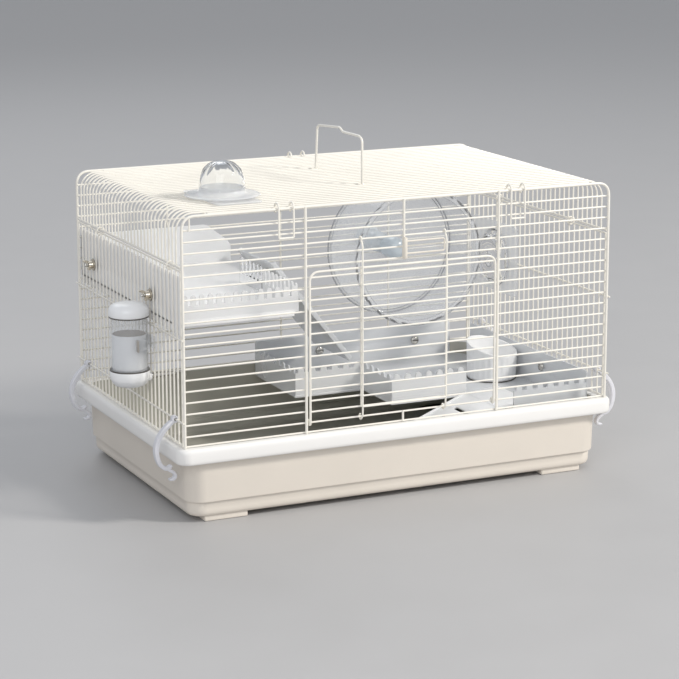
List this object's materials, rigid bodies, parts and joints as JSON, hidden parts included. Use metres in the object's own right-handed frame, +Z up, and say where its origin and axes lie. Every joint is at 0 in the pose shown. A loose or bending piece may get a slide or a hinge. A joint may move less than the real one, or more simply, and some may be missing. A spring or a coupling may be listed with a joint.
{
  "type": "hamster_cage",
  "caption": "Wire hamster cage on a deep beige plastic tray, with nested front doors, carry handle, running wheel, corner platforms, ramps and side bottle",
  "frame": {"origin": "middle of the whole cage's bounding box on the ground under the tray's feet", "axes": "+X to the right seen from the front, +Y from the front doors to the back, +Z up"},
  "size_m": [0.5188, 0.3102, 0.3459],
  "materials": {
    "coated_wire": "satin",
    "tray_beige": "satin",
    "clip_plastic": "satin",
    "white_plastic": "satin",
    "frosted_plastic": "satin",
    "clear_plastic": "gloss",
    "pale_blue_plastic": "gloss",
    "zinc_steel": "satin"
  },
  "bodies": {
    "housing": {"back_grille": "coated_wire", "bottle_holder": "clip_plastic", "front_grille_left": "coated_wire", "front_grille_right": "coated_wire", "front_grille_top": "coated_wire", "front_sill": "coated_wire", "hide_cup": "white_plastic", "hideout_front": "white_plastic", "lower_platform": "frosted_plastic", "lower_platform_left_bolt": "zinc_steel", "lower_platform_left_wing_nut": "zinc_steel", "lower_platform_middle_bolt": "zinc_steel", "lower_platform_middle_wing_nut": "zinc_steel", "lower_platform_right_bolt": "zinc_steel", "lower_platform_right_wing_nut": "zinc_steel", "panel_ring_left_front": "coated_wire", "panel_ring_left_rear": "coated_wire", "panel_ring_right_front": "coated_wire", "panel_ring_right_rear": "coated_wire", "rear_roof_clip": "coated_wire", "roof_grille": "coated_wire", "roof_port_plate": "clear_plastic", "roof_skirt_left": "coated_wire", "roof_skirt_right": "coated_wire", "side_grille_left": "coated_wire", "side_grille_right": "coated_wire", "side_port_plate": "clear_plastic", "slotted_ramp": "white_plastic", "tray": "tray_beige", "upper_platform": "white_plastic", "upper_platform_front_bolt": "zinc_steel", "upper_platform_front_wing_nut": "zinc_steel", "upper_platform_rear_bolt": "zinc_steel", "upper_platform_rear_wing_nut": "zinc_steel", "upper_ramp": "frosted_plastic", "wheel_axle": "zinc_steel", "wheel_bearing_housing": "pale_blue_plastic", "wheel_clamp_nut": "clip_plastic"},
    "large_door": {"large_door": "coated_wire"},
    "small_door": {"small_door": "coated_wire"},
    "door_latch": {"door_latch": "coated_wire"},
    "carry_handle": {"carry_handle": "coated_wire"},
    "roof_clip_left": {"roof_clip_left": "coated_wire"},
    "roof_clip_right": {"roof_clip_right": "coated_wire"},
    "tray_clip_left_front": {"tray_clip_left_front": "clip_plastic"},
    "tray_clip_left_rear": {"tray_clip_left_rear": "clip_plastic"},
    "tray_clip_right_front": {"tray_clip_right_front": "clip_plastic"},
    "tray_clip_right_rear": {"tray_clip_right_rear": "clip_plastic"},
    "wheel": {"wheel_drum": "clear_plastic", "wheel_hub_cap": "pale_blue_plastic"},
    "roof_port_dome": {"roof_port_dome": "clear_plastic"},
    "side_port_cap": {"side_port_cap": "clear_plastic"},
    "bottle": {"bottle_body": "clear_plastic", "bottle_inner_cup": "frosted_plastic", "bottle_cap": "white_plastic", "bottle_base_cap": "white_plastic", "bottle_spout": "zinc_steel"}
  },
  "joints": [
    {"name": "large_door_swing", "type": "hinge", "parent": "housing", "child": "large_door", "pos_m": [0.00945, -0.1469, 0.0864], "axis": [1, 0, 0], "range_deg": [0, 60]},
    {"name": "small_door_swing", "type": "hinge", "parent": "large_door", "child": "small_door", "pos_m": [0.00945, -0.1469, 0.0864], "axis": [1, 0, 0], "range_deg": [0, 55]},
    {"name": "door_latch_turn", "type": "hinge", "parent": "housing", "child": "door_latch", "pos_m": [0.00945, -0.1509, 0.2474], "axis": [0, 0, -1], "range_deg": [0, 110]},
    {"name": "carry_handle_fold", "type": "hinge", "parent": "housing", "child": "carry_handle", "pos_m": [0.00945, -0.0014, 0.29235], "axis": [0, 1, 0], "range_deg": [-80, 80]},
    {"name": "roof_clip_left_swing", "type": "hinge", "parent": "housing", "child": "roof_clip_left", "pos_m": [-0.11305, -0.1456, 0.2944], "axis": [-1, 0, 0], "range_deg": [0, 120]},
    {"name": "roof_clip_right_swing", "type": "hinge", "parent": "housing", "child": "roof_clip_right", "pos_m": [0.13195, -0.1456, 0.2944], "axis": [-1, 0, 0], "range_deg": [0, 120]},
    {"name": "tray_clip_left_front_swing", "type": "hinge", "parent": "housing", "child": "tray_clip_left_front", "pos_m": [-0.21895, -0.125, 0.1005], "axis": [0, 1, 0], "range_deg": [0, 100]},
    {"name": "tray_clip_left_rear_swing", "type": "hinge", "parent": "housing", "child": "tray_clip_left_rear", "pos_m": [-0.21895, 0.1166, 0.1005], "axis": [0, 1, 0], "range_deg": [0, 100]},
    {"name": "tray_clip_right_front_swing", "type": "hinge", "parent": "housing", "child": "tray_clip_right_front", "pos_m": [0.23785, -0.125, 0.1005], "axis": [0, -1, 0], "range_deg": [0, 100]},
    {"name": "tray_clip_right_rear_swing", "type": "hinge", "parent": "housing", "child": "tray_clip_right_rear", "pos_m": [0.23785, 0.1166, 0.1005], "axis": [0, -1, 0], "range_deg": [0, 100]},
    {"name": "wheel_spin", "type": "hinge", "parent": "housing", "child": "wheel", "pos_m": [0.10995, 0.0486, 0.2008], "axis": [0, 1, 0], "continuous": true},
    {"name": "roof_port_dome_lift", "type": "slide", "parent": "housing", "child": "roof_port_dome", "axis": [0, 0, 1], "range_m": [0, 0.03]},
    {"name": "side_port_cap_pull", "type": "slide", "parent": "housing", "child": "side_port_cap", "axis": [-1, 0, 0], "range_m": [0, 0.03]},
    {"name": "bottle_pull", "type": "slide", "parent": "housing", "child": "bottle", "axis": [-1, 0, 0], "range_m": [0, 0.045]}
  ]
}
